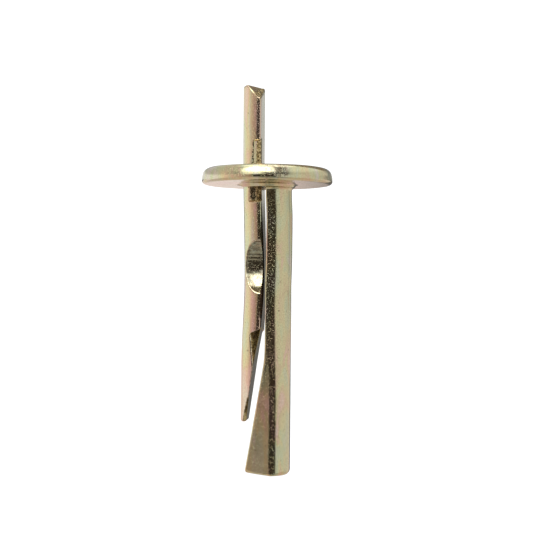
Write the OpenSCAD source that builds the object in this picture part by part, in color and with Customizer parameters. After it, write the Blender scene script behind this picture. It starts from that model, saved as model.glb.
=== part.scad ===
// Hammer-set wedge anchor for a 6 mm drill hole, in two steel pieces.
// The forged body has a flat round head, a half-round shank and a wedge at the shank's lower end.
// The pin hangs in the head's off-centre hole, and its sloped tail lies beside the wedge.
// A hammer drives the pin flush with the head, and the wedge pushes its tail outwards.
// The origin is the centre of the head's underside. +Z points to the struck side,
// +X from the pin to the shank, and -Y to the front.

/* [Head] */
// Diameter of the head
head_d = 15.8; // [13:0.1:20]
// Thickness of the head
head_t = 1.8; // [1.5:0.1:3]
// Radius of the head's rounded rim
rim_r = 0.6; // [0.2:0.05:0.7]
// Diameter of the low round pad under the head, where it meets the head
pad_d = 6.8; // [6.6:0.1:7.4]
// Height of that pad
pad_h = 0.4; // [0.2:0.05:0.6]
// Radius of the fillet between the pad and the shank
neck_r = 0.3; // [0.1:0.05:0.5]

/* [Shank] */
// Length from the head's underside to the lower end
shank_l = 35; // [32:0.5:45]
// Radius of the shank's round outer side
shank_r = 2.2; // [2:0.05:2.3]
// How far the round side's centre lies behind the flat inner side
shank_depth = 0.55; // [0.3:0.05:0.7]
// Distance from the head's axis to the flat inner side
flat_x = 0.25; // [0.2:0.05:0.5]
// Length of the wedge at the lower end
wedge_l = 14.1; // [12:0.1:16]
// Angle of the wedge's ramp from the shank's axis
wedge_angle = 9.8; // [8:0.1:10]
// Radius of the lower end's outer corner
end_r = 0.7; // [0.3:0.1:1]
// Width of the bevel along the lower end's inner corner
toe_bevel = 0.35; // [0.1:0.05:0.5]

/* [Pin] */
// Length of the pin
pin_l = 40.5; // [36:0.5:46]
// Radius of the pin's round outer side
pin_r = 2.1; // [1.9:0.05:2.1]
// Thickness of the pin from its round side to its flat inner side
pin_t = 2.4; // [2.1:0.05:2.4]
// Gap between the pin's flat side and the shank's flat side
pin_gap = 0.8; // [0.6:0.02:1.1]
// Radius of the corners beside the pin's flat side
pin_corner_r = 0.2; // [0.1:0.05:0.6]
// Thickness of the tail at its tip
tip_t = 0.75; // [0.6:0.05:1.2]
// Length of the sloped tail
tail_l = 11.35; // [9:0.1:13]
// Depth of the step where the slope starts
tail_step = 0.14; // [0.05:0.01:0.2]
// Radius of the tip's corners
tip_r = 0.3; // [0.1:0.05:0.35]
// Angle of the sheared facet at the top
facet_angle = 41.5; // [20:0.5:50]

/* [Recess, scoop and chisel marks] */
// Direction that the recess and the chisel marks face, from the front towards the shank
side_angle = 45; // [35:1:60]
// Depth of the recess that holds the pin in the head
recess_depth = 0.7; // [0.3:0.05:0.8]
// Height of the recess's upper end above the head's underside
recess_top = 5.4; // [4:0.1:7]
// Depth of the recess's lower end below the head's underside
recess_low = 2.1; // [1:0.1:3]
// Direction that the scoop faces, from the front towards the shank
scoop_angle = 8; // [0:1:45]
// Depth of the scoop at its middle
scoop_depth = 1.35; // [0.6:0.05:1.4]
// Length of the scoop
scoop_l = 5.9; // [5:0.1:8]
// Depth of the scoop's middle below the head's underside
scoop_low = 9.9; // [8:0.1:11]
// Depth of the chisel mark's upper end below the head's underside
mark_low = 17.35; // [17.35:0.05:17.6]
// Distance from the pin's middle to the chisel mark's floor at its upper end
mark_out = 0.55; // [0.45:0.05:0.8]
// How far the chisel mark's floor runs outwards for each millimetre down
mark_rise = 0.12; // [0.08:0.01:0.16]
// Length of the chamfer across the corner at the tip
chamfer_l = 3.1; // [2:0.1:4]
// Distance from the pin's middle to the chamfer's upper end
chamfer_out = 0.5; // [0.3:0.05:0.7]
// How far the chamfer runs inwards for each millimetre down
chamfer_rise = 0.3; // [0.2:0.01:0.35]

/* [Motion] */
// How far the pin stands above the head at rest, which is how far a hammer drives it
travel = 10; // [8:0.1:10]
// How far the pin moves outwards over that travel, as its tail rides over the wedge
spread = 0.55; // [0.55:0.01:0.65]
// Clearance all round the pin in the head's hole
hole_gap = 0.05; // [0.03:0.01:0.1]

/* [Hidden] */
$fn = 96;
steel = "#c9b679";
hole_r = 3;
hole_x = 0.04;
pin_flat_x = flat_x - pin_gap;
pin_x = pin_flat_x - pin_t + pin_r;
pin_top = head_t + travel;
pin_bottom = pin_top - pin_l;
wedge_top = wedge_l - shank_l;
toe_x = flat_x - wedge_l * tan(wedge_angle);
tail_top = pin_bottom + tail_l;
tip_x = pin_flat_x - pin_t + tip_t;
past = 1;

// Outline of the pin seen from above, round on the left and flat on the right.
// grow widens it on every side, for the hole in the head.
module pin_outline(grow = 0) {
    big_r = pin_r + grow;
    corner_r = pin_corner_r + grow;
    corner_x = pin_t - pin_r - pin_corner_r;
    corner_y = sqrt(pow(pin_r - pin_corner_r, 2) - pow(corner_x, 2));
    // where the round side runs into a corner
    meet_x = corner_x * big_r / (pin_r - pin_corner_r);
    meet_y = corner_y * big_r / (pin_r - pin_corner_r);
    intersection() {
        circle(r = big_r);
        translate([-2 * big_r, -big_r])
            square([2 * big_r + meet_x, 2 * big_r]);
    }
    for (side = [-1, 1])
        translate([corner_x, side * corner_y])
            circle(r = corner_r);
    polygon([
        [meet_x, -meet_y],
        [corner_x, -corner_y],
        [corner_x + corner_r, -corner_y],
        [corner_x + corner_r, corner_y],
        [corner_x, corner_y],
        [meet_x, meet_y]
    ]);
}

// Hole in the head: the pin's outline, drawn out by the pin's sideways motion
module pin_hole() {
    widest_x = pin_t - pin_r - pin_corner_r;
    half_y = sqrt(pow(pin_r - pin_corner_r, 2) - pow(widest_x, 2)) + pin_corner_r + hole_gap;
    translate([pin_x, 0, -past])
        linear_extrude(head_t + 2 * past) {
            pin_outline(hole_gap);
            translate([-spread, 0])
                pin_outline(hole_gap);
            translate([widest_x - spread, -half_y])
                square([spread, 2 * half_y]);
        }
}

// Head: a flat disc with a rounded rim
module head() {
    rotate_extrude() {
        square([head_d / 2 - rim_r, head_t]);
        translate([0, rim_r])
            square([head_d / 2, head_t - 2 * rim_r]);
        for (level = [rim_r, head_t - rim_r])
            translate([head_d / 2 - rim_r, level])
                circle(r = rim_r);
    }
}

// Outline of the shank and the wedge seen from the front, with its end's corners taken off
module shank_side() {
    outer_x = flat_x + shank_depth + shank_r;
    difference() {
        polygon([
            [flat_x, head_t / 2],
            [flat_x, wedge_top],
            [toe_x, -shank_l],
            [outer_x, -shank_l],
            [outer_x, head_t / 2]
        ]);
        translate([outer_x - end_r, -shank_l - past])
            difference() {
                square([end_r + past, end_r + past]);
                translate([0, end_r + past])
                    circle(r = end_r);
            }
        translate([toe_x, -shank_l])
            rotate(45)
                square(toe_bevel * sqrt(2), center = true);
    }
}

// Outline of the shank seen from above: flat at the front and the back, round on the right
module shank_section() {
    translate([flat_x + shank_depth, 0])
        circle(r = shank_r);
    translate([flat_x + shank_depth - 2 * hole_r, -shank_r])
        square([2 * hole_r, 2 * shank_r]);
}

// Shank and wedge, kept inside the drill hole
module shank() {
    intersection() {
        rotate([90, 0, 0])
            linear_extrude(2 * hole_r, center = true)
                shank_side();
        translate([0, 0, -shank_l - past])
            linear_extrude(shank_l + past + head_t / 2)
                shank_section();
        translate([hole_x, 0, -shank_l - past])
            cylinder(r = hole_r, h = shank_l + past + head_t / 2);
    }
}

// Low pad under the head, sloped like a shallow cone, which the shank and the pin's hole share
module pad() {
    translate([0, 0, -pad_h])
        cylinder(d1 = pad_d - pad_h, d2 = pad_d + pad_h, h = 2 * pad_h);
}

// Hollow quarter round that fills the corner under the pad, reaching a little into both
module neck_profile() {
    into = 0.2;
    difference() {
        translate([-into, -neck_r])
            square([neck_r + into, neck_r + into]);
        translate([neck_r, -neck_r])
            circle(r = neck_r);
    }
}

// Fillet round the shank's top: along the front, round the outer side and along the back
module neck() {
    translate([flat_x + shank_depth, 0, -pad_h])
        rotate([0, 0, -90])
            rotate_extrude(angle = 180)
                translate([shank_r, 0])
                    neck_profile();
    for (side = [0, 1])
        mirror([0, side, 0])
            translate([flat_x, shank_r, -pad_h])
                rotate([90, 0, 90])
                    linear_extrude(shank_depth)
                        neck_profile();
}

// Outline of the pin seen from the front, with its sloped tail and rounded tip
module pin_side() {
    outer_x = pin_x - pin_r;
    difference() {
        polygon([
            [outer_x - past, pin_top],
            [pin_flat_x + past, pin_top],
            [pin_flat_x + past, tail_top],
            [pin_flat_x, tail_top],
            [pin_flat_x - tail_step, tail_top - tail_step],
            [tip_x, pin_bottom],
            [outer_x, pin_bottom],
            [outer_x - past, pin_bottom + tip_r + past]
        ]);
        translate([tip_x - tip_r, pin_bottom - past])
            difference() {
                square([tip_r + past, tip_r + past]);
                translate([0, tip_r + past])
                    circle(r = tip_r);
            }
    }
}

// Turns its children round the pin's middle: local +X points out at an angle from the front
module facing(angle) {
    translate([pin_x, 0, 0])
        rotate([0, 0, angle - 90])
            children();
}

// Distance from the round side's centre to the corner, in the direction that the corner faces
function corner_reach() =
    let (
        dx = pin_t - pin_r - pin_corner_r,
        dy = sqrt(pow(pin_r - pin_corner_r, 2) - pow(dx, 2))
    )
    dx * sin(side_angle) + dy * cos(side_angle) + pin_corner_r;

// Flat recess across the front inner corner, where the head's hole holds the pin
module recess() {
    facing(side_angle)
        translate([corner_reach() - recess_depth, -pin_r, -recess_low])
            cube([past, 2 * pin_r, recess_top + recess_low]);
}

// Round hollow lower down, in the front of the round side
module scoop() {
    scoop_r = (pow(scoop_l / 2, 2) + pow(scoop_depth, 2)) / (2 * scoop_depth);
    facing(scoop_angle)
        translate([pin_r - scoop_depth + scoop_r, 0, -scoop_low])
            rotate([90, 0, 0])
                cylinder(r = scoop_r, h = 4 * pin_r, center = true);
}

// Chisel mark at the top of the tail, in the front inner corner: deep above, running out below
module chisel_mark() {
    facing(side_angle)
        rotate([90, 0, 0])
            linear_extrude(4 * pin_r, center = true)
                polygon([
                    [mark_out, -mark_low],
                    [mark_out + 2 * pin_r, -mark_low],
                    [mark_out + 2 * pin_r, -mark_low - 2 * pin_r / mark_rise]
                ]);
}

// Steep chamfer across the same corner at the tip
module tip_chamfer() {
    chamfer_top = pin_bottom + chamfer_l;
    run = chamfer_l + past;
    facing(side_angle)
        rotate([90, 0, 0])
            linear_extrude(4 * pin_r, center = true)
                polygon([
                    [chamfer_out, chamfer_top],
                    [chamfer_out - chamfer_rise * run, chamfer_top - run],
                    [2 * pin_r, chamfer_top - run],
                    [2 * pin_r, chamfer_top]
                ]);
}

// Sheared facet at the pin's top, sloping down towards the shank
module top_facet() {
    facet_turn = -17;
    facet_x = -0.84;
    translate([pin_x + facet_x, 0, pin_top])
        rotate([0, 0, facet_turn])
            rotate([0, facet_angle, 0])
                translate([-past, -2 * pin_r, 0])
                    cube([4 * pin_r, 4 * pin_r, 2 * pin_r]);
}

// Forged body: head, shank and wedge in one piece, with the pin's hole through the head
module anchor_body() {
    color(steel)
        difference() {
            union() {
                head();
                pad();
                shank();
                neck();
            }
            pin_hole();
        }
}

// Half-round pin with its recess, scoop, chisel marks, sloped tail and sheared top
module expansion_pin() {
    color(steel)
        difference() {
            intersection() {
                translate([pin_x, 0, pin_bottom - past])
                    linear_extrude(pin_l + 2 * past)
                        pin_outline();
                rotate([90, 0, 0])
                    linear_extrude(4 * pin_r, center = true)
                        pin_side();
            }
            recess();
            scoop();
            chisel_mark();
            tip_chamfer();
            top_facet();
        }
}

anchor_body();
expansion_pin();
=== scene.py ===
import math

import bpy
import numpy as np
from mathutils import Matrix, Vector


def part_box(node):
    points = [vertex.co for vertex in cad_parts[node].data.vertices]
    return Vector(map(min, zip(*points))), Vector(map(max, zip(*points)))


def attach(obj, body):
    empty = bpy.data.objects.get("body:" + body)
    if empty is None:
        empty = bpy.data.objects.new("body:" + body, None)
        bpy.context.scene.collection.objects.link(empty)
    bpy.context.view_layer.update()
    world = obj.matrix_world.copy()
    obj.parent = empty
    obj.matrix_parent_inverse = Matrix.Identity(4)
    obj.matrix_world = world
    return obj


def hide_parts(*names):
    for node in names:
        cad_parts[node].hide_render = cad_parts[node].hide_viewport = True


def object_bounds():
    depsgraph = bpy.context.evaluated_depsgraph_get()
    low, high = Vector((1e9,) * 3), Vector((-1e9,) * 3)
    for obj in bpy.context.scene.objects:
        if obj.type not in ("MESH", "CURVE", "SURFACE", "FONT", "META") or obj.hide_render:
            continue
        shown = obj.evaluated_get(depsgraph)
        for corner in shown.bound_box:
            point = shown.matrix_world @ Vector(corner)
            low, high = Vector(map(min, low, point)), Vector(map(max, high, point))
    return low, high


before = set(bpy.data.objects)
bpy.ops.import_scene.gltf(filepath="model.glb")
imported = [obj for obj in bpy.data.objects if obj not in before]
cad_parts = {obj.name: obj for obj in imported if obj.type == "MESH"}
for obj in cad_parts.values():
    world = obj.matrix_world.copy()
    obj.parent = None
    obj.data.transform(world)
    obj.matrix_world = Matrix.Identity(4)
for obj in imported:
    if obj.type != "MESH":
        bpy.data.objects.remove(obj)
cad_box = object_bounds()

# A hammer-set wedge anchor: a forged body with a head, shank and wedge, and a half-round pin
# through the head. Each piece is a distance function, in millimetres and in the CAD frame, that
# is meshed once. Sizes that the CAD boxes give are read from them. The others repeat the part's
# or differ from them a little, as in the bends, the edges, the cuts and the head's rim and pad.
MM = 0.001
SEED = 6
NOISE_TABLE, NOISE_HASH = 4096, (73856093, 19349663, 83492791)
NOISE_OFFSET = 1000
body_low, body_high = (np.array(corner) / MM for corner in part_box("anchor_body"))
pin_low, pin_high = (np.array(corner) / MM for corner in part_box("expansion_pin"))

HEAD_R = body_high[0] - 0.01
HEAD_T = body_high[2]
HEAD_X = -0.05
RIM_TOP_R, RIM_LOW_R = 0.55, 0.4
RIM_WIDEST, RIM_BULGE = 0.35, 0.19
HEAD_LOW = -0.12
PAD_R, PAD_H = 3.4, 0.52
PAD_TAPER, PAD_EDGE = 0.5, 0.12
PAD_FILLET, SHANK_FILLET = 0.25, 0.35

SHANK_END = body_low[2]
SHANK_R = 2.2
SHANK_BOW, SHANK_SHIFT = 0.1, 0.02
SHANK_EDGE, RAMP_BLEND = 0.16, 0.2
FLAT_X = 0.25
ARC_X = FLAT_X + 0.55
FRONT_SLOPE, FRONT_TWIST, FRONT_PROUD = -0.055, 0.09, 0.06
WEDGE_TOP = SHANK_END + 14.1
RAMP = math.radians(9.8)
DRILL_X, DRILL_R, DRILL_EDGE = 0.04, 3.0, 0.13
END_EDGE, END_EDGE_RIGHT, END_EDGE_TOE = 0.25, 0.45, 0.2
END_SLOPE, END_SLOPE_FROM = 0.1, 1.0

PIN_TOP, PIN_TIP = pin_high[2], pin_low[2]
PIN_R = 2.1
PIN_X = pin_low[0] + PIN_R
PIN_T = pin_high[0] - PIN_X
PIN_TURN = math.radians(6)
CORNER_R = 0.2
TAIL_TOP = PIN_TIP + 11.35
TAIL_STEP = 0.14
TIP_T = 0.75
HOLE_GAP = 0.06
HOLE_ROOM = 0.06
HOLE_EDGE = 0.12
HOLE_REACH = 2
SPREAD = 0.55

# Unevenness of the forged faces: how high, how far across, and which seed.
BODY_LUMPS = ((0.014, 2.6, 1), (0.004, 0.8, 2))
PIN_LUMPS = ((0.008, 2.2, 5), (0.002, 0.6, 6))


# ---------------------------------------------------------------- shaping tools

def smooth(low, high, value):
    """0 at low, 1 at high, and a soft step between them."""
    t = np.clip((value - low) / (high - low), 0, 1)
    return t * t * (3 - 2 * t)


def cut_round(a, b, r):
    """What is inside both a and b, with an edge of radius r."""
    corner = np.hypot(np.maximum(a + r, 0), np.maximum(b + r, 0))
    return np.minimum(np.maximum(a, b), -r) + corner


def join_round(a, b, r):
    """What is inside a or b, with a fillet of radius r."""
    corner = np.hypot(np.maximum(r - a, 0), np.maximum(r - b, 0))
    return np.maximum(np.minimum(a, b), r) - corner


def soft_join(a, b, width):
    """What is inside a or b, where they meet at a shallow angle, blended over width."""
    near = np.maximum(width - np.abs(a - b), 0) / width
    return np.minimum(a, b) - near * near * width / 4


def lumps(x, y, z, size, seed):
    """Smooth seeded noise from -1 to 1, with lumps about size across."""
    table = np.random.default_rng(SEED + seed).uniform(-1, 1, NOISE_TABLE)
    cells, steps = [], []
    for value in (x, y, z):
        scaled = value / size + NOISE_OFFSET
        cell = np.floor(scaled).astype(np.int64)
        step = scaled - cell
        cells.append(cell)
        steps.append(step * step * (3 - 2 * step))
    total = 0
    for corner in np.ndindex(2, 2, 2):
        place = [cell + offset for cell, offset in zip(cells, corner)]
        first, second, third = (k * prime for k, prime in zip(place, NOISE_HASH))
        number = first ^ second ^ third
        weight = 1
        for step, offset in zip(steps, corner):
            weight = weight * (step if offset else 1 - step)
        total = total + weight * table[number % NOISE_TABLE]
    return total


def add_lumps(shape, x, y, z, layers):
    """The shape with each layer of lumps laid over it."""
    for height, size, seed in layers:
        shape = shape + height * lumps(x, y, z, size, seed)
    return shape


# ---------------------------------------------------------------- the pin's outline

def pin_frame(x, y):
    """Coordinates turned with the pin, which sits a few degrees round in its hole."""
    dx = x - PIN_X
    return (dx * math.cos(PIN_TURN) + y * math.sin(PIN_TURN),
            y * math.cos(PIN_TURN) - dx * math.sin(PIN_TURN))


def pin_section(a, b, grow=0):
    """Half-round outline: round on the left, flat on the right."""
    return cut_round(np.hypot(a, b) - PIN_R - grow, a - PIN_T - grow, CORNER_R + grow)


def hole_distance(x, y):
    """The pin's hole in the head: its outline drawn out by the pin's sideways motion."""
    left = pin_section(*pin_frame(x + SPREAD + HOLE_ROOM, y), HOLE_GAP)
    middle = pin_section(*pin_frame(x + SPREAD / 2, y), HOLE_GAP)
    right = pin_section(*pin_frame(x, y), HOLE_GAP)
    return np.minimum(np.minimum(left, right), middle)


# ---------------------------------------------------------------- the forged body

def shank_bend(z):
    """The shank is a little bowed: how far it lies off straight, along X."""
    bow = SHANK_BOW * smooth(-1.0, -4, z) * smooth(-13, -8, z)
    return bow + SHANK_SHIFT * smooth(-9, -13, z)


def shank_distance(x, y, z):
    """Shank and wedge: flat front and back, round outside, ramped inside, within the drill hole.

    The front face isn't quite square: it slopes one way at the top and the other way at the wedge.
    """
    x = x - shank_bend(z)
    turned = (ARC_X - x) * (FRONT_SLOPE + FRONT_TWIST * smooth(-16, -27, z)) * smooth(0, -0.5, y)
    shell = np.hypot(np.maximum(x - ARC_X, 0), y) - SHANK_R + np.maximum(turned, -FRONT_PROUD)
    ramp = (FLAT_X - x) * math.cos(RAMP) + (z - WEDGE_TOP) * math.sin(RAMP)
    shape = cut_round(shell, soft_join(FLAT_X - x, ramp, RAMP_BLEND), SHANK_EDGE)
    shape = cut_round(shape, np.hypot(x - DRILL_X, y) - DRILL_R, DRILL_EDGE)
    edge = END_EDGE + END_EDGE_RIGHT * smooth(1.0, 2.9, x) + END_EDGE_TOE * smooth(-0.8, -2.2, x)
    end = SHANK_END + END_SLOPE * np.maximum(END_SLOPE_FROM - x, 0)
    return cut_round(shape, end - z, edge)


def body_distance(x, y, z, detail):
    """Head, pad, shank and wedge in one, with the pin's hole through the head."""
    radius = np.hypot(x, y)
    rim = np.hypot(x - HEAD_X, y) - HEAD_R + RIM_BULGE * (z - RIM_WIDEST) ** 2
    head = cut_round(cut_round(rim, z - HEAD_T, RIM_TOP_R), HEAD_LOW - z, RIM_LOW_R)
    pad = cut_round(radius - PAD_R - PAD_TAPER * (z + PAD_H / 2), -PAD_H - z, PAD_EDGE)
    pad = np.maximum(pad, z - HEAD_T / 2)
    shank = np.maximum(shank_distance(x, y, z), z - HEAD_T / 2)
    shape = join_round(head, join_round(pad, shank, SHANK_FILLET), PAD_FILLET)
    hole = np.maximum(hole_distance(x, y), np.abs(z - HEAD_T / 2) - HOLE_REACH)
    shape = cut_round(shape, -hole, HOLE_EDGE)
    return add_lumps(shape, x, y, z, BODY_LUMPS) if detail else shape


# ---------------------------------------------------------------- the pin

# The recess, dish and chamfer are cut across the pin's front inner corner, which lies CORNER_TURN
# round from the front and REACH from the pin's centre. The scoop faces nearly to the front.
CORNER_TURN = math.radians(45)
REACH = ((PIN_T - CORNER_R) * math.sin(CORNER_TURN)
         + math.sqrt((PIN_R - CORNER_R) ** 2 - (PIN_T - CORNER_R) ** 2) * math.cos(CORNER_TURN)
         + CORNER_R)
SCOOP_TURN = math.radians(3)
SCOOP_Z, SCOOP_L, SCOOP_D = -10.0, 6.4, 1.35
SCOOP_R = ((SCOOP_L / 2) ** 2 + SCOOP_D ** 2) / (2 * SCOOP_D)
SCOOP_ACROSS = 8.0
SCOOP_LINE_PITCH, SCOOP_LINE_D = 0.42, 0.013
RECESS_LOW, RECESS_TOP, RECESS_D = -2.1, 5.4, 0.7
RECESS_RISE, RECESS_END_SLOPE = 0.03, 0.25
RECESS_TWIST, RECESS_TWIST_FROM = 0.8, 1.5
RECESS_END_R = 0.12
DISH_TOP, DISH_FLOOR, DISH_RISE = -17.35, 0.55, 0.12
DISH_ARCH, DISH_ARCH_AT, DISH_TOP_R = 0.35, 0.6, 0.3
CHAMFER_TOP, CHAMFER_FLOOR, CHAMFER_RISE = -25.6, 0.5, 0.3
CHAMFER_TOP_R = 0.25
TAIL_ARCH, TAIL_TOP_R = 0.12, 0.3
FACET_NORMAL = (0.640, -0.245, 0.741)
FACET_AT = (-1.30, -1.58)
SHEARED_LUMPS = (0.09, 0.33, 3)
STAMPED_LUMPS = (0.03, 0.2, 4)

SECTION_EDGE, DISH_EDGE, TIP_EDGE, RECESS_EDGE, SCOOP_EDGE = 0.1, 0.12, 0.05, 0.25, 0.08
FACET_EDGE, TOP_EDGE, TOP_EDGE_LEFT, PIN_END_EDGE = 0.04, 0.17, 0.1, 0.24
BEND_TOP, BEND_IN, BEND_OUT = -0.07, 0.3, 0.305


def pin_bend(z):
    """The pin is slightly bent: its middle lies nearer to the shank than its ends."""
    return BEND_TOP + BEND_IN * smooth(4, -11, z) - BEND_OUT * smooth(-12, -22, z)


def facing(a, b, turn):
    """Coordinates outwards and sideways for a cut that faces turn round from the pin's front."""
    return (a * math.sin(turn) - b * math.cos(turn),
            a * math.cos(turn) + b * math.sin(turn))


def tail_distance(a, b, z):
    """What the sloped tail leaves: the flat side runs out to a thin tip."""
    drop = PIN_R + PIN_T - TAIL_STEP - TIP_T
    slope = math.atan2(drop, TAIL_TOP - TAIL_STEP - PIN_TIP)
    floor = (a - PIN_T + TAIL_STEP) * math.cos(slope)
    floor = floor - (z - TAIL_TOP + TAIL_STEP) * math.sin(slope)
    start = z - TAIL_TOP + TAIL_ARCH * b * b
    return -cut_round(-floor, start, TAIL_TOP_R)


def recess_cut(out, side, z):
    """Long stamped recess, whose floor turns towards the front below the head's underside."""
    ends = np.maximum(RECESS_LOW - z, z - RECESS_TOP - RECESS_END_SLOPE * side)
    turned = RECESS_TWIST * smooth(0.4, -0.2, z) * (side + RECESS_TWIST_FROM)
    return cut_round(REACH - RECESS_D + RECESS_RISE * z + turned - out, ends, RECESS_END_R)


def scoop_cut(a, b, z):
    """Round hollow pressed into the front of the round side, and a little hollow across itself."""
    out, side = facing(a, b, SCOOP_TURN)
    bowl = side * side / (2 * SCOOP_ACROSS)
    return np.hypot(out - (PIN_R - SCOOP_D + SCOOP_R) - bowl, z - SCOOP_Z) - SCOOP_R


def dish_cut(out, side, z):
    """Chisel mark at the top of the tail: deep at its upper end, and running out below."""
    floor = DISH_FLOOR + DISH_RISE * (DISH_TOP - z)
    top = z - DISH_TOP + DISH_ARCH * (side + DISH_ARCH_AT) ** 2
    return cut_round(floor - out, top, DISH_TOP_R)


def tip_cut(out, side, z):
    """Steep chamfer across the tip's front inner corner."""
    floor = CHAMFER_FLOOR + CHAMFER_RISE * (z - CHAMFER_TOP)
    return cut_round(floor - out, z - CHAMFER_TOP, CHAMFER_TOP_R)


def facet_height(dx, y, z):
    """Height above the sheared facet at the top, which slopes down to the shank and the front."""
    across, along, up = FACET_NORMAL
    return across * (dx - FACET_AT[0]) + along * (y - FACET_AT[1]) + up * (z - PIN_TOP)


def pin_distance(x, y, z, detail):
    """The half-round pin with its tail and cuts, and with rough lumps where it is stamped."""
    x = x - pin_bend(z)
    a, b = pin_frame(x, y)
    out, side = facing(a, b, CORNER_TURN)
    shape = cut_round(pin_section(a, b), tail_distance(a, b, z), SECTION_EDGE)
    shape = cut_round(shape, -dish_cut(out, side, z), DISH_EDGE)
    shape = cut_round(shape, -tip_cut(out, side, z), TIP_EDGE)
    shape = cut_round(shape, -recess_cut(out, side, z), RECESS_EDGE)
    scoop = scoop_cut(a, b, z)
    if detail:
        lines = np.sin((z - SCOOP_Z) * 2 * math.pi / SCOOP_LINE_PITCH)
        scoop = scoop + SCOOP_LINE_D * lines * smooth(SCOOP_Z + 0.2, SCOOP_Z + 1.0, z)
    shape = cut_round(shape, -scoop, SCOOP_EDGE)
    facet = facet_height(x - PIN_X, y, z)
    top = cut_round(z - PIN_TOP, facet, FACET_EDGE)
    if detail:
        sheared = smooth(-0.6, -0.1, facet) * smooth(PIN_TOP - 2.6, PIN_TOP - 1.6, z)
        sheared = sheared * smooth(-0.7, 0.2, x - PIN_X)
        height, size, seed = SHEARED_LUMPS
        top = top + height * sheared * lumps(x, y, z, size, seed)
        stamped = smooth(0.3, 0.05, np.abs(recess_cut(out, side, z)))
        height, size, seed = STAMPED_LUMPS
        shape = shape + height * stamped * lumps(x, y, z, size, seed)
        shape = add_lumps(shape, x, y, z, PIN_LUMPS)
    edge = TOP_EDGE + TOP_EDGE_LEFT * smooth(-1.0, -1.9, x - PIN_X)
    shape = cut_round(shape, top, edge)
    return cut_round(shape, PIN_TIP - z, PIN_END_EDGE)


def pin_marks(x, y, z):
    """Two masks from 0 to 1: where the pin's metal is stamped bare, and where it is scooped or
    chiselled, for painted shade and painted dark reflection.
    """
    x = x - pin_bend(z)
    a, b = pin_frame(x, y)
    out, side = facing(a, b, CORNER_TURN)
    raw_and_hole_shade = smooth(0.16, 0.04, np.abs(recess_cut(out, side, z))) * smooth(-1.55, -1.3, side)
    facet = smooth(-0.12, -0.03, facet_height(x - PIN_X, y, z)) * smooth(-0.8, -0.1, x - PIN_X)
    raw_and_hole_shade = np.maximum(raw_and_hole_shade, facet)
    # Painted shade and painted dark reflection: the scoop, dish and chamfer are marked to be
    # coloured darker.
    painted_shade_and_reflection = smooth(0.16, 0.06, np.abs(scoop_cut(a, b, z)))
    for cut in (dish_cut, tip_cut):
        painted_shade_and_reflection = np.maximum(painted_shade_and_reflection, smooth(0.12, 0.05, np.abs(cut(out, side, z))))
    return raw_and_hole_shade, painted_shade_and_reflection


def body_marks(x, y, z):
    """Two masks from 0 to 1: bare metal inside the hole, darker there as painted shade, and a patch
    of mottling on the head's rim that is a painted dark reflection.
    """
    # Bare metal on the wall of the pin's hole; its darker colour there is painted shade.
    raw_and_hole_shade = smooth(0.15, 0.05, np.abs(hole_distance(x, y))) * smooth(-0.6, -0.4, z)
    turn = np.degrees(np.arctan2(x, -y))
    # Painted dark reflection: a patch from about 7 to 36 degrees round the rim towards +X, on its
    # upper part, where the rim mirrors the dark opening of the light dome.
    painted_dark_reflection = smooth(7, 13, turn) * smooth(36, 26, turn) * smooth(7, 7.4, np.hypot(x, y))
    return raw_and_hole_shade, painted_dark_reflection * smooth(0.1, 0.4, z)


# ---------------------------------------------------------------- meshing

def slopes(distance, points, h=0.01):
    """The distance function's gradient at each point, by central differences."""
    grad = np.empty_like(points)
    for axis in range(3):
        ahead, behind = points.copy(), points.copy()
        ahead[:, axis] += h
        behind[:, axis] -= h
        grad[:, axis] = (distance(*ahead.T, True) - distance(*behind.T, True)) / (2 * h)
    return grad


def crossed_cells(inside):
    """The grid cells that the surface passes through."""
    total = np.zeros([n - 1 for n in inside.shape], dtype=np.int8)
    for corner in np.ndindex(2, 2, 2):
        total += inside[tuple(slice(o, n - 1 + o) for o, n in zip(corner, inside.shape))]
    return np.argwhere((total > 0) & (total < 8))


def crossing_quads(inside, number):
    """One face for each grid edge that the surface crosses, between the four cells round it."""
    quads = []
    for axis in range(3):
        lower, upper = [slice(None)] * 3, [slice(None)] * 3
        lower[axis], upper[axis] = slice(0, -1), slice(1, None)
        before, after = inside[tuple(lower)], inside[tuple(upper)]
        edges = np.argwhere(before != after)
        first, second = np.eye(3, dtype=int)[[(axis + 1) % 3, (axis + 2) % 3]]
        ring = [edges, edges - first, edges - first - second, edges - second]
        quad = np.stack([number[tuple(cell.T)] for cell in ring], axis=1)
        entering = ~before[tuple(edges.T)]
        quad[entering] = quad[entering][:, ::-1]
        quads.append(quad)
    return np.concatenate(quads)


# The grid's margin round the box, in cells. Then the moves that take each vertex to the surface:
# how many, the longest one in cells, and the least squared slope that a move is worked out from.
MARGIN_CELLS = 3
MOVES, LONGEST_MOVE = 6, 0.6
LEAST_SLOPE = 0.05


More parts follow.
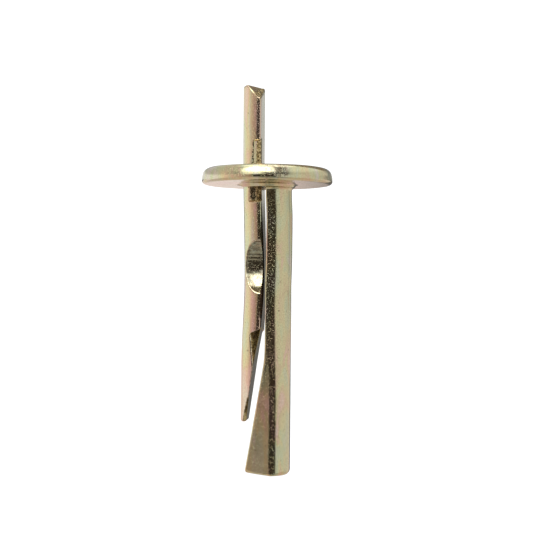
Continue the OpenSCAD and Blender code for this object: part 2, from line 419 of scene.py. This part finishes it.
def mesh_from(name, distance, marks, low, high, step):
    """Meshes a distance function: one vertex in each crossed cell, moved onto the surface."""
    low = np.array(low) - MARGIN_CELLS * step
    counts = np.ceil((np.array(high) + MARGIN_CELLS * step - low) / step).astype(int) + 1
    axes = [low[k] + step * np.arange(counts[k]) for k in range(3)]
    inside = distance(*np.meshgrid(*axes, indexing="ij", sparse=True), False) < 0
    cells = crossed_cells(inside)
    number = np.full(inside.shape, -1, dtype=np.int64)
    number[tuple(cells.T)] = np.arange(len(cells))
    quads = crossing_quads(inside, number)

    points = low + (cells + 0.5) * step
    for _ in range(MOVES):
        grad = slopes(distance, points)
        size = np.maximum((grad ** 2).sum(axis=1), LEAST_SLOPE)
        move = -distance(*points.T, True)[:, None] * grad / size[:, None]
        longest = np.maximum(np.linalg.norm(move, axis=1, keepdims=True), 1e-9)
        points = points + move * np.minimum(1, LONGEST_MOVE * step / longest)

    mesh = bpy.data.meshes.new(name)
    mesh.from_pydata((points * MM).tolist(), [], quads.tolist())
    mesh.validate()
    # The two masks go on as vertex attributes: bare metal, with painted shade in the head's hole,
    # and painted shade and painted dark reflection.
    for label, values in zip(("raw_and_hole_shade", "painted_shade_and_reflection"), marks(*points.T)):
        layer = mesh.attributes.new(label, "FLOAT", "POINT")
        layer.data.foreach_set("value", values.astype(np.float32))
    normals = slopes(distance, points)
    normals /= np.maximum(np.linalg.norm(normals, axis=1, keepdims=True), 1e-9)
    mesh.polygons.foreach_set("use_smooth", [True] * len(mesh.polygons))
    mesh.normals_split_custom_set_from_vertices(normals.tolist())
    piece = bpy.data.objects.new(name, mesh)
    bpy.context.collection.objects.link(piece)
    return piece


# ---------------------------------------------------------------- the plated steel

class Nodes:
    """Short names for the shader nodes that the plating uses. Coordinates are in millimetres."""

    def __init__(self, name):
        self.mat = bpy.data.materials.new(name)
        self.mat.use_nodes = True
        self.tree = self.mat.node_tree
        self.shader = self.tree.nodes["Principled BSDF"]
        place = self.tree.nodes.new("ShaderNodeTexCoord").outputs["Object"]
        self.place = self.vector("SCALE", place, scale=1 / MM)

    def link(self, source, socket):
        if isinstance(source, (int, float)):
            socket.default_value = source
        elif isinstance(source, tuple):
            fits = len(source) == len(socket.default_value)
            socket.default_value = source if fits else (*source, 1)
        else:
            self.tree.links.new(source, socket)

    def vector(self, operation, a, b=None, scale=None):
        node = self.tree.nodes.new("ShaderNodeVectorMath")
        node.operation = operation
        self.link(a, node.inputs[0])
        if b is not None:
            self.link(b, node.inputs[1])
        if scale is not None:
            node.inputs["Scale"].default_value = scale
        return node.outputs[0]

    def math(self, operation, a, b):
        node = self.tree.nodes.new("ShaderNodeMath")
        node.operation = operation
        self.link(a, node.inputs[0])
        self.link(b, node.inputs[1])
        return node.outputs[0]

    def noise(self, size, stretch=1, detail=2, rough=0.5, twist=0, shift=0):
        """Noise with features about size wide across, and stretch times as long along Z."""
        place = self.vector("MULTIPLY", self.place, (1 / size, 1 / size, 1 / size / stretch))
        place = self.vector("ADD", place, (shift, shift, shift))
        node = self.tree.nodes.new("ShaderNodeTexNoise")
        node.inputs["Scale"].default_value = 1
        node.inputs["Detail"].default_value = detail
        node.inputs["Roughness"].default_value = rough
        node.inputs["Distortion"].default_value = twist
        self.link(place, node.inputs["Vector"])
        return node.outputs["Fac"]

    def step(self, value, low, high, to_low=0, to_high=1):
        node = self.tree.nodes.new("ShaderNodeMapRange")
        node.interpolation_type = "SMOOTHSTEP"
        for socket, number in zip(list(node.inputs)[1:5], (low, high, to_low, to_high)):
            socket.default_value = number
        self.link(value, node.inputs["Value"])
        return node.outputs[0]

    def ramp(self, value, stops):
        node = self.tree.nodes.new("ShaderNodeValToRGB")
        while len(node.color_ramp.elements) < len(stops):
            node.color_ramp.elements.new(1)
        for element, (position, colour) in zip(node.color_ramp.elements, stops):
            element.position = position
            element.color = (*colour, 1)
        self.link(value, node.inputs["Fac"])
        return node.outputs["Color"]

    def mix(self, fac, a, b, blend="MIX"):
        node = self.tree.nodes.new("ShaderNodeMix")
        node.data_type = "RGBA"
        node.blend_type = blend
        self.link(fac, node.inputs["Factor"])
        self.link(a, node.inputs[6])
        self.link(b, node.inputs[7])
        return node.outputs[2]

    def attribute(self, name):
        node = self.tree.nodes.new("ShaderNodeAttribute")
        node.attribute_name = name
        return node.outputs["Fac"]

    def bump(self, height, depth, normal=None):
        node = self.tree.nodes.new("ShaderNodeBump")
        node.inputs["Strength"].default_value = 1
        node.inputs["Distance"].default_value = depth * MM
        self.link(height, node.inputs["Height"])
        if normal is not None:
            self.link(normal, node.inputs["Normal"])
        return node.outputs[0]


GREEN = (0.50, 0.51, 0.33)
YELLOW = (0.56, 0.51, 0.30)
TAN = (0.56, 0.46, 0.29)
PINK = (0.61, 0.45, 0.35)
PALE = (0.57, 0.51, 0.41)
# Rough gold of bare metal; on the wall of the head's hole its darkness is painted shade.
GOLD_DARK, GOLD_MID, GOLD_PALE = (0.10, 0.07, 0.03), (0.42, 0.31, 0.13), (0.68, 0.57, 0.32)
# Olive tones for painted shade and painted dark reflection in the hollows and on the head's rim.
SHADE_OLIVE_DARK, SHADE_OLIVE_MID, SHADE_OLIVE_PALE = (0.38, 0.26, 0.19), (0.46, 0.42, 0.28), (0.64, 0.61, 0.48)
GRAIN_DARK, GRAIN_PALE = (0.86, 0.85, 0.82), (1.05, 1.05, 1.05)
# A dark stain colour, which also serves as painted shade in the hollows.
STAIN_AND_SHADE = (0.15, 0.11, 0.07)
SMOOTHEST, ROUGHEST, RAW_ROUGHER, STAIN_ROUGHER = 0.08, 0.16, 0.12, 0.05
PIT_D, WAVE_D, STAMPED_D = 0.0065, 0.009, 0.12


def plating(name, shift):
    """Yellow passivated zinc: soft bands of green, yellow, tan and pink over a fine grain."""
    n = Nodes(name)
    bands = n.noise(1.5, stretch=4, detail=3, twist=0.8, shift=shift)
    broad = n.noise(4.5, stretch=2.5, detail=1, shift=shift + 7)
    hue = n.math("ADD", n.math("MULTIPLY", bands, 0.6), n.math("MULTIPLY", broad, 0.4))
    colour = n.ramp(hue, [(0.36, PALE), (0.44, GREEN), (0.49, YELLOW), (0.54, TAN), (0.60, PINK),
                          (0.68, PALE)])
    grain = n.noise(0.16, detail=3, rough=0.6, shift=shift + 3)
    shade = n.ramp(grain, [(0.3, GRAIN_DARK), (0.7, GRAIN_PALE)])
    colour = n.mix(1, colour, shade, "MULTIPLY")
    raw_and_hole_shade, painted_shade_and_reflection = n.attribute("raw_and_hole_shade"), n.attribute("painted_shade_and_reflection")
    # Rough gold where the metal is bare: real on the pin's stamped recess and top facet, and
    # painted shade on the wall of the head's hole.
    coarse = n.noise(0.24, detail=4, rough=0.65, shift=shift + 11)
    rough_gold = n.ramp(coarse, [(0.42, GOLD_DARK), (0.52, GOLD_MID), (0.64, GOLD_PALE)])
    colour = n.mix(raw_and_hole_shade, colour, rough_gold)
    # Painted shade and painted dark reflection: olive mottling mixed in over the scoop, dish and
    # chamfer hollows and the patch on the head's rim.
    mottle = n.noise(0.4, detail=3, rough=0.6, shift=shift + 13)
    shade_olive = n.ramp(mottle, [(0.35, SHADE_OLIVE_DARK), (0.5, SHADE_OLIVE_MID), (0.65, SHADE_OLIVE_PALE)])
    colour = n.mix(n.math("MULTIPLY", painted_shade_and_reflection, 0.6), colour, shade_olive)
    # Dark stain spots at random, made more likely over the hollows and the head's rim patch as
    # painted shade and painted dark reflection there.
    blots = n.noise(0.4, stretch=1.2, detail=4, rough=0.65, shift=shift + 5)
    stains_and_shade = n.step(n.math("ADD", blots, n.math("MULTIPLY", painted_shade_and_reflection, 0.14)), 0.64, 0.72)
    colour = n.mix(n.math("MULTIPLY", stains_and_shade, 0.6), colour, STAIN_AND_SHADE)
    n.link(colour, n.shader.inputs["Base Color"])

    rough = n.math("ADD", n.step(grain, 0.3, 0.75, SMOOTHEST, ROUGHEST),
                   n.math("MULTIPLY", raw_and_hole_shade, RAW_ROUGHER))
    rough = n.math("ADD", rough, n.math("MULTIPLY", stains_and_shade, STAIN_ROUGHER))
    n.link(rough, n.shader.inputs["Roughness"])
    n.shader.inputs["Metallic"].default_value = 1

    specks = n.noise(0.13, detail=2, rough=0.6, shift=shift + 17)
    pits = n.bump(n.step(specks, 0.60, 0.69), PIT_D)
    waves = n.bump(n.noise(0.9, stretch=1.6, detail=2, shift=shift + 19), WAVE_D, pits)
    crumbs = n.noise(0.2, detail=3, rough=0.7, shift=shift + 23)
    stamped = n.bump(n.math("MULTIPLY", crumbs, raw_and_hole_shade), STAMPED_D, waves)
    n.link(stamped, n.shader.inputs["Normal"])
    return n.mat


# ---------------------------------------------------------------- the pieces

BODY_STEP = 0.125
PIN_STEP = 0.08
PIN_SHIFT = 40


def add_piece(name, distance, marks, node, step, look):
    """Meshes a piece in the CAD node's box, and has it stand for the node and ride on its body."""
    low, high = (np.array(corner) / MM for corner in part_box(node))
    piece = mesh_from(name, distance, marks, low, high, step)
    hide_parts(node)
    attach(piece, node)
    piece.data.materials.append(look)


add_piece("anchor_body_forging", body_distance, body_marks, "anchor_body",
          BODY_STEP, plating("body_plating_look", 0))
add_piece("expansion_pin_forging", pin_distance, pin_marks, "expansion_pin",
          PIN_STEP, plating("pin_plating_look", PIN_SHIFT))


# ---------------------------------------------------------------- camera, floor and light

VIEW_TURN = 12
CAMERA_FAR = 145
CAMERA_CLIP = 5
FOCAL = 77.1
AIM_Z = (cad_box[0][2] + cad_box[1][2]) / 2 / MM
AIM_SIDE = 1.60
ROLL = math.radians(0.5)
FLOOR_HALF, FLOOR_DROP = 3000, 16
FLOOR_COLOUR, FLOOR_ROUGH = (0.93, 0.93, 0.93, 1), 0.9
DOME_R, DOME_GLOW = 4000, 1.35
DOME_RINGS, DOME_SPOKES = 24, 48
WORLD_GLOW = 1.2


def direction(turn, rise=0):
    """The way from the object to a turn from the front towards +X and a rise, both in degrees."""
    turn, rise = math.radians(turn), math.radians(rise)
    level = math.cos(rise)
    return Vector((math.sin(turn) * level, -math.cos(turn) * level, math.sin(rise)))


def add_camera():
    data = bpy.data.cameras.new("camera")
    data.lens = FOCAL
    data.clip_start = CAMERA_CLIP * MM
    camera = bpy.data.objects.new("camera", data)
    bpy.context.collection.objects.link(camera)
    back = direction(VIEW_TURN)
    right = direction(VIEW_TURN + 90)
    camera.rotation_mode = "QUATERNION"
    camera.location = (back * CAMERA_FAR + right * AIM_SIDE + Vector((0, 0, AIM_Z))) * MM
    turn = (-back).to_track_quat("-Z", "Y").to_matrix() @ Matrix.Rotation(ROLL, 3, "Z")
    camera.rotation_quaternion = turn.to_quaternion()
    bpy.context.scene.camera = camera


def add_floor():
    """A pale floor. The metal mirrors the light dome below it, not the floor."""
    size = FLOOR_HALF * MM
    level = (PIN_TIP - FLOOR_DROP) * MM
    mesh = bpy.data.meshes.new("floor")
    mesh.from_pydata([(-size, -size, level), (size, -size, level), (size, size, level),
                      (-size, size, level)], [], [(0, 1, 2, 3)])
    floor = bpy.data.objects.new("floor", mesh)
    bpy.context.collection.objects.link(floor)
    mat = bpy.data.materials.new("floor_look")
    mat.use_nodes = True
    shader = mat.node_tree.nodes["Principled BSDF"]
    shader.inputs["Base Color"].default_value = FLOOR_COLOUR
    shader.inputs["Roughness"].default_value = FLOOR_ROUGH
    floor.data.materials.append(mat)
    floor.visible_glossy = False


def grey(value):
    return (value, value, value)


DARK = (0.042, 0.034, 0.028)
BROWN = (0.24, 0.20, 0.16)
ROSE = (0.72, 0.66, 0.68)
SAND = (0.66, 0.56, 0.53)

# The dome's colours round the object, as (degrees from the camera's side, colour). Each list is
# one band of heights. LOW, LEVEL and HIGH lie about the camera's height and share most of FRONT.
FRONT = [(-144, grey(0.9)), (-110, (0.98, 1.0, 0.95)), (-84, (0.98, 0.88, 0.84)),
         (-64, (0.72, 0.57, 0.58)), (-42, (0.50, 0.39, 0.40)), (-29, (0.37, 0.28, 0.25)),
         (-26, grey(0.2)), (-23, DARK), (14, DARK), (18, grey(0.35)), (23, grey(0.66)),
         (60, grey(0.70))]
LOW = [(-180, (0.68, 0.58, 0.55)), (-144, (0.8, 0.7, 0.66)), *FRONT[1:], (120, ROSE), (146, ROSE),
       (153, grey(0.12)), (176, grey(0.12)), (180, (0.6, 0.5, 0.47))]
LEVEL = [(-180, grey(0.75)), (-172, grey(0.75)), (-166, grey(0.12)), (-152, grey(0.12)), *FRONT,
         (112, grey(0.60)), (134, grey(0.32)), (150, grey(0.14)), (179, grey(0.10))]
HIGH = [(-180, grey(0.75)), (-150, grey(0.75)), *FRONT, (112, grey(0.58)), (134, grey(0.28)),
        (160, grey(0.25)), (166, grey(0.5)), (172, grey(0.5)), (178, grey(0.2))]
UPPER = [(-180, grey(0.2)), (-150, grey(0.5)), (-84, (0.7, 0.62, 0.6)), (-60, grey(0.4)),
         (-50, grey(0.4)), (-36, grey(1.3)), (-14, grey(1.3)), (-4, grey(0.14)), (36, grey(0.14)),
         (46, grey(0.62)), (130, grey(0.66)), (148, grey(0.2)), (180, grey(0.2))]
OVER = [(-180, grey(0.6)), (-60, grey(0.6)), (-50, grey(0.8)), (-37, grey(3.2)), (4, grey(3.2)),
        (20, grey(0.3)), (34, grey(0.35)), (46, grey(0.9)), (118, grey(0.9)), (132, BROWN),
        (170, BROWN), (180, grey(0.6))]
UNDER = [(-180, SAND), (-30, (0.62, 0.52, 0.49)), (-10, grey(0.3)), (30, grey(0.3)),
         (50, (0.58, 0.49, 0.45)), (180, SAND)]
OVERHEAD = grey(1.6)


def dome_look():
    """What the metal mirrors: a white tent, with a dark opening in front and a brown edge."""
    n = Nodes("dome_look")
    n.tree.nodes.remove(n.shader)
    parts = n.tree.nodes.new("ShaderNodeSeparateXYZ")
    n.link(n.vector("NORMALIZE", n.place), parts.inputs[0])
    turn = n.math("ARCTAN2", parts.outputs[0], n.math("MULTIPLY", parts.outputs[1], -1))
    turn = n.math("ADD", n.math("DIVIDE", turn, 2 * math.pi), 0.5)
    rise = parts.outputs[2]

    def round_the(stops):
        return n.ramp(turn, [(0.5 + degrees / 360, colour) for degrees, colour in stops])

    # Each band takes over between two heights, which are sines of the elevation.
    light = round_the(LOW)
    for start, full, band in ((-0.05, 0.0, LEVEL), (0.055, 0.09, HIGH), (0.17, 0.25, UPPER),
                              (0.33, 0.5, OVER)):
        light = n.mix(n.step(rise, start, full), light, round_the(band))
    light = n.mix(n.step(rise, 0.86, 0.95), light, OVERHEAD)
    light = n.mix(n.step(rise, -0.25, -0.5), light, round_the(UNDER))
    glow = n.tree.nodes.new("ShaderNodeEmission")
    n.link(light, glow.inputs["Color"])
    glow.inputs["Strength"].default_value = DOME_GLOW
    n.link(glow.outputs[0], n.tree.nodes["Material Output"].inputs["Surface"])
    return n.mat


def add_dome():
    """The tent, a sphere round the object that shows only in what the metal mirrors."""
    points, faces = [], []
    for ring in range(DOME_RINGS + 1):
        rise = 180 * (ring / DOME_RINGS - 0.5)
        for spoke in range(DOME_SPOKES):
            points.append(direction(360 * spoke / DOME_SPOKES, rise) * DOME_R * MM)
    for ring in range(DOME_RINGS):
        for spoke in range(DOME_SPOKES):
            here = ring * DOME_SPOKES + spoke
            there = ring * DOME_SPOKES + (spoke + 1) % DOME_SPOKES
            faces.append((here, there, there + DOME_SPOKES, here + DOME_SPOKES))
    mesh = bpy.data.meshes.new("dome")
    mesh.from_pydata(points, [], faces)
    dome = bpy.data.objects.new("dome", mesh)
    bpy.context.collection.objects.link(dome)
    dome.location = (0, 0, AIM_Z * MM)
    dome.rotation_euler = (0, 0, math.radians(VIEW_TURN))
    dome.data.materials.append(dome_look())
    dome.visible_camera = False
    dome.visible_diffuse = False
    dome.visible_transmission = False
    dome.visible_volume_scatter = False
    dome.visible_shadow = False


def add_world():
    world = bpy.data.worlds.new("studio")
    bpy.context.scene.world = world
    world.use_nodes = True
    back = world.node_tree.nodes["Background"]
    back.inputs["Color"].default_value = (1, 1, 1, 1)
    back.inputs["Strength"].default_value = WORLD_GLOW


add_camera()
add_world()
add_floor()
add_dome()
bpy.context.scene.view_settings.view_transform = "Standard"
